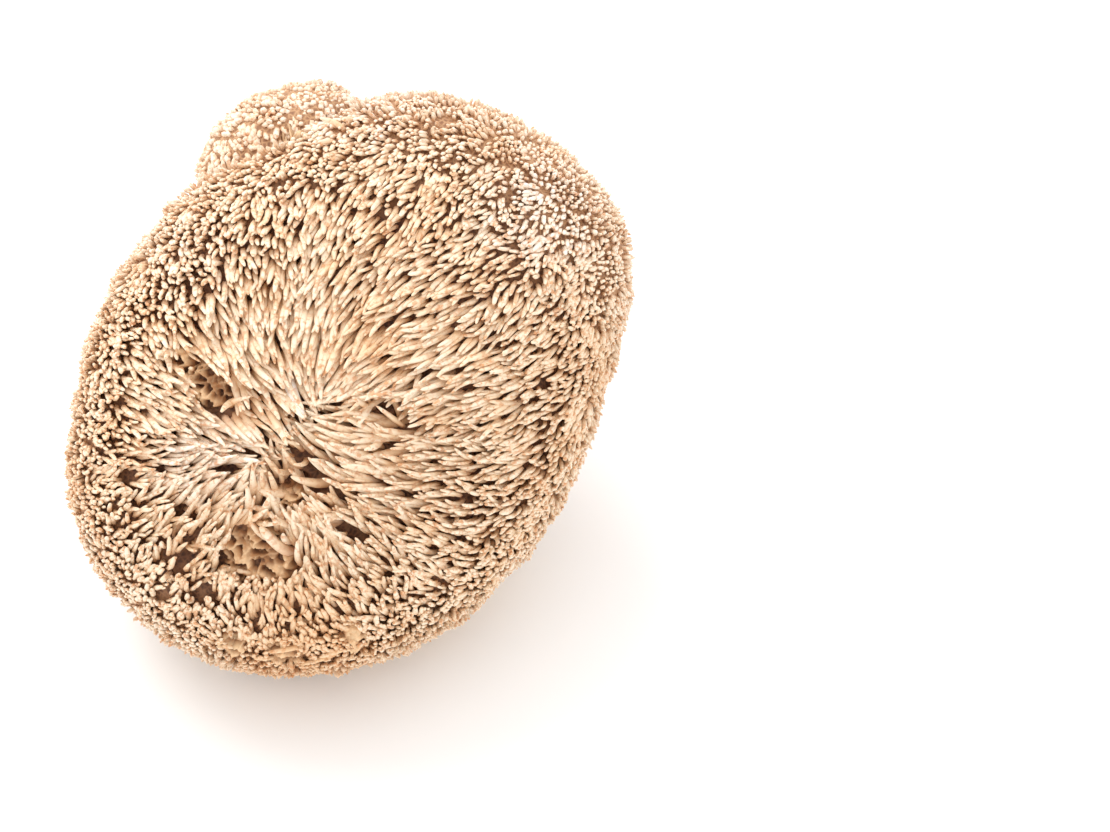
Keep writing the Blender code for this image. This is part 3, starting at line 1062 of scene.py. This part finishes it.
def stained(tree, shader, group, base, stain, patch, amount, depth, stretch=(1, 1, 1)):
    """Places the mottling in a material and feeds its colour and its pores to the shader."""
    made = node(tree, "ShaderNodeGroup", {
        "Place": vector(tree, "MULTIPLY", own_place(tree), stretch),
        "Base": base,
        "Stain": (*stain, 1),
        "Fineness": 1 / patch,
        "Amount": amount,
    }, node_tree=group)
    relief = {"Height": made.outputs["Height"], "Strength": PORE_STRENGTH, "Distance": depth}
    tree.links.new(node(tree, "ShaderNodeBump", relief).outputs[0], shader.inputs["Normal"])
    tree.links.new(made.outputs["Colour"], shader.inputs["Base Color"])


def spine_finish(group):
    """Dried spines: brown at the root, partly painted shade deep among the spines, golden on the shaft, cream
    above, with flecks of rust near the tip.
    """
    material, tree, shader = material_with_shader("dried_spine")
    along, tone = shader_field(tree, "along"), shader_field(tree, "tone")
    frost_and_rim_light, gold_and_shade = shader_field(tree, "frost_and_rim_light"), shader_field(tree, "gold_and_shade")
    # darker towards the root, partly painted shade deep among the spines
    colour = ramp(tree, along, SPINE_COLOURS)
    colour = mixed(tree, calc(tree, "MULTIPLY", tone, 0.35), colour, CREAM)
    areas = clouds(tree, own_place(tree), 1 / AREA_SIZE, 2.0)
    colour = mixed(tree, between(tree, areas, 0.46, 0.68, 0.45), colour, HONEY)
    # pale frosted patches, and painted rim light on the spines towards the rim
    frost_and_rim_share = calc(tree, "MULTIPLY", frost_and_rim_light, calc(tree, "MULTIPLY_ADD", tone, 0.45, 0.15))
    colour = mixed(tree, frost_and_rim_share, colour, FROST_AND_RIM_LIGHT)
    # golden patches, partly painted shade at the bottom
    colour = mixed(tree, calc(tree, "MULTIPLY", gold_and_shade, 0.5), colour, GOLD_AND_SHADE)
    amount = calc(tree, "MULTIPLY_ADD", between(tree, along, 0.5, 0.95), 0.5, 0.3)
    stained(tree, shader, group, colour, RUST, 0.8 * MM, amount, 0.06 * MM)
    shader.inputs["Roughness"].default_value = 0.62
    shader.inputs["Specular IOR Level"].default_value = 0.25
    return material


def comb_finish(group):
    """Broken walls: golden tan at their edges, brown darkening to nearly black in the cells as painted shade.
    """
    material, tree, shader = material_with_shader("broken_flesh")
    # painted shade: darker down towards the cells
    colour = ramp(tree, shader_field(tree, "along"), WALL_COLOURS)
    stained(tree, shader, group, colour, WALL_STAIN, 1.1 * MM, 0.5, 0.08 * MM)
    shader.inputs["Roughness"].default_value = 0.7
    return material


def flesh_finish(group):
    """Brown flesh between the spines, darkened as painted shade, and amber skin on the bare foot with painted
    shade in the bottoms of its folds.
    """
    material, tree, shader = material_with_shader("dried_skin")
    pattern = {"Vector": own_place(tree), "Scale": 1 / CELL_SIZE}
    cells = node(tree, "ShaderNodeTexVoronoi", pattern, feature="DISTANCE_TO_EDGE").outputs[0]
    # painted shade on the flesh between the spines: darkest in the cells' middles, and lighter towards the
    # rim
    deep, shallow = ramp(tree, cells, DEEP_SHADE_COLOURS), ramp(tree, cells, SHALLOW_SHADE_COLOURS)
    floor = mixed(tree, shader_field(tree, "shade_fades_rimward"), deep, shallow)
    # painted shade in the bottoms of the foot's folds
    height = calc(tree, "MULTIPLY_ADD", shader_field(tree, "fold"), 0.6, 0.55)
    colour = mixed(tree, shader_field(tree, "bare"), floor, ramp(tree, height, FOLD_COLOURS))
    stained(tree, shader, group, colour, SKIN_STAIN, 1.3 * MM, 0.45, 0.15 * MM, (1, 1, 0.3))
    shader.inputs["Roughness"].default_value = 0.72
    return material


def cut_finish(group):
    """The dried cut: pale and spongy in the middle, darker towards its skin."""
    material, tree, shader = material_with_shader("cut_flesh")
    out = calc(tree, "DIVIDE", vector(tree, "LENGTH", own_place(tree)), float(FOOT_RADII[0]))
    stained(tree, shader, group, ramp(tree, out, CUT_COLOURS), CUT_STAIN, 1.1 * MM, 0.35, 0.2 * MM)
    shader.inputs["Roughness"].default_value = 0.85
    return material


# The stage, the light and the camera

FLOOR_HALF = 3.0
FLOOR_DROP = 0.0001
FLOOR_GREY = 0.93
SKY_STRENGTH = 1.28
LAMP_PLACE = (-0.35, 0.42, 0.80)
LAMP_SIZE = 0.8
LAMP_POWER = 4.4
IMAGE = (1110, 832)
LENS = 90.0
SENSOR = 36.0
DISTANCE = 0.457
BODY_PIXEL = (345, 385)


def make_floor():
    """A plain pale floor, a tenth of a millimetre under the mushroom."""
    ends = (-FLOOR_HALF, FLOOR_HALF)
    corners = [(ends[x], ends[y], -FLOOR_DROP) for x, y in ((0, 0), (1, 0), (1, 1), (0, 1))]
    mesh = bpy.data.meshes.new("floor")
    mesh.from_pydata(corners, [], [(0, 1, 2, 3)])
    material, _, shader = material_with_shader("pale_floor")
    shader.inputs["Base Color"].default_value = (FLOOR_GREY, FLOOR_GREY, FLOOR_GREY, 1)
    shader.inputs["Roughness"].default_value = 0.9
    mesh.materials.append(material)
    put_in_scene("floor", mesh)


def light_the_stage():
    """White light from all round, and a large soft lamp from above, behind and to the left."""
    world = bpy.data.worlds.new("studio")
    world.use_nodes = True
    sky = world.node_tree.nodes["Background"].inputs
    sky["Color"].default_value = (1, 1, 1, 1)
    sky["Strength"].default_value = SKY_STRENGTH
    bpy.context.scene.world = world
    data = bpy.data.lights.new("window", "AREA")
    data.shape = "DISK"
    data.size = LAMP_SIZE
    data.energy = LAMP_POWER
    lamp = put_in_scene("window", data)
    lamp.location = LAMP_PLACE
    shining = Vector(BODY_CENTRE) - Vector(LAMP_PLACE)
    lamp.rotation_euler = shining.to_track_quat("-Z", "Y").to_euler()
    bpy.context.scene.view_settings.view_transform = "Standard"


def place_camera():
    """Looks along +Y and down, and aims beside the mushroom so that it falls where the picture has it."""
    data = bpy.data.cameras.new("camera")
    data.lens, data.sensor_width, data.sensor_fit = LENS, SENSOR, "HORIZONTAL"
    focal = LENS / SENSOR * IMAGE[0]
    beside = (BODY_PIXEL[0] - IMAGE[0] / 2) / focal * DISTANCE
    above = (IMAGE[1] / 2 - BODY_PIXEL[1]) / focal * DISTANCE
    right, rise, back = AXES
    spot = BODY_CENTRE + back * DISTANCE - right * beside - rise * above
    camera = put_in_scene("camera", data)
    turn = Matrix((right, rise, back)).transposed()
    camera.matrix_world = Matrix.Translation(Vector(spot)) @ turn.to_4x4()
    bpy.context.scene.camera = camera


def main():
    """Sets the stage, makes every piece, and puts the pieces in place of the solid."""
    place_camera()
    make_floor()
    light_the_stage()
    group = mottling()
    flesh = make_flesh((flesh_finish(group), cut_finish(group)))
    finish = spine_finish(group)
    pieces = [flesh, *grow_coats(flesh, finish), grow_placed(finish)]
    broken = comb_finish(group)
    pieces += [make_comb(number, place, broken) for number, place in enumerate(COMBS, 1)]
    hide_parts(SOLID)
    for piece in pieces:
        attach(piece, BODY)


main()
